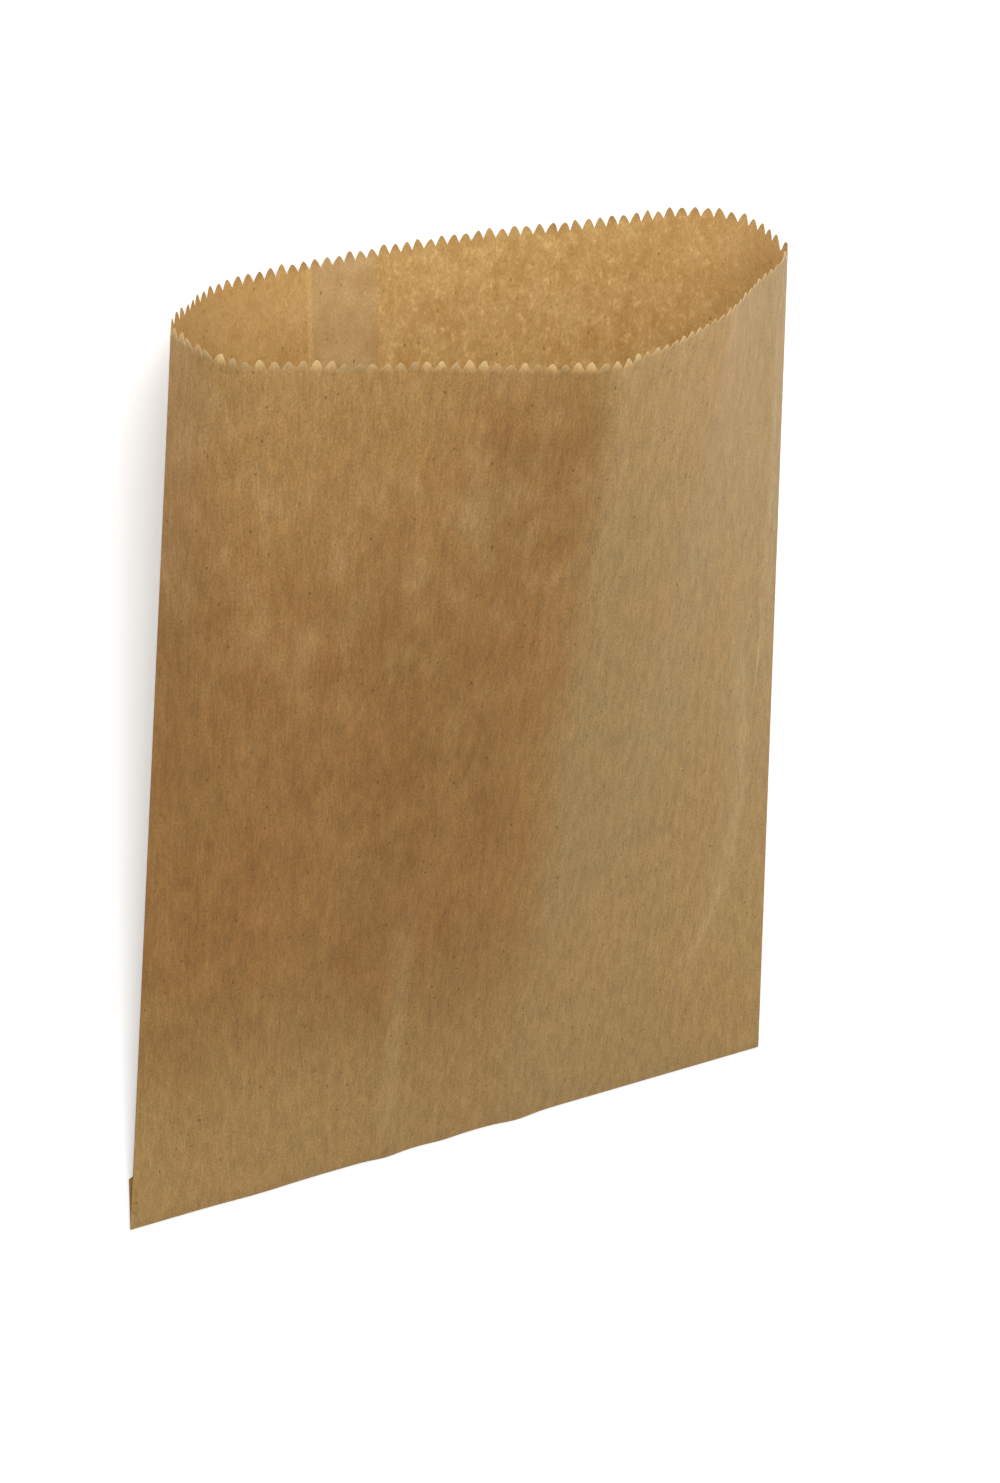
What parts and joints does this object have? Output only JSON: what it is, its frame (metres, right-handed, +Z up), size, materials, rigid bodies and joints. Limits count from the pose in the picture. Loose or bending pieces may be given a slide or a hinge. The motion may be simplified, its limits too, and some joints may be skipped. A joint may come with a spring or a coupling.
{
  "type": "flat paper bag",
  "caption": "Flat kraft paper bag lying on its back, its toothed mouth sprung open, with a lap seam down the back and the bottom folded over and glued.",
  "frame": {"origin": "centre of the bag's box on the surface that it lies on", "axes": "+Y from the folded bottom towards the open mouth, +Z up through the front of the bag, +X across its width"},
  "size_m": [0.2352, 0.3002, 0.089],
  "materials": {
    "kraft_paper": "matt natural brown kraft paper"
  },
  "bodies": {
    "root": {"paper_bag": "kraft_paper"}
  },
  "joints": []
}
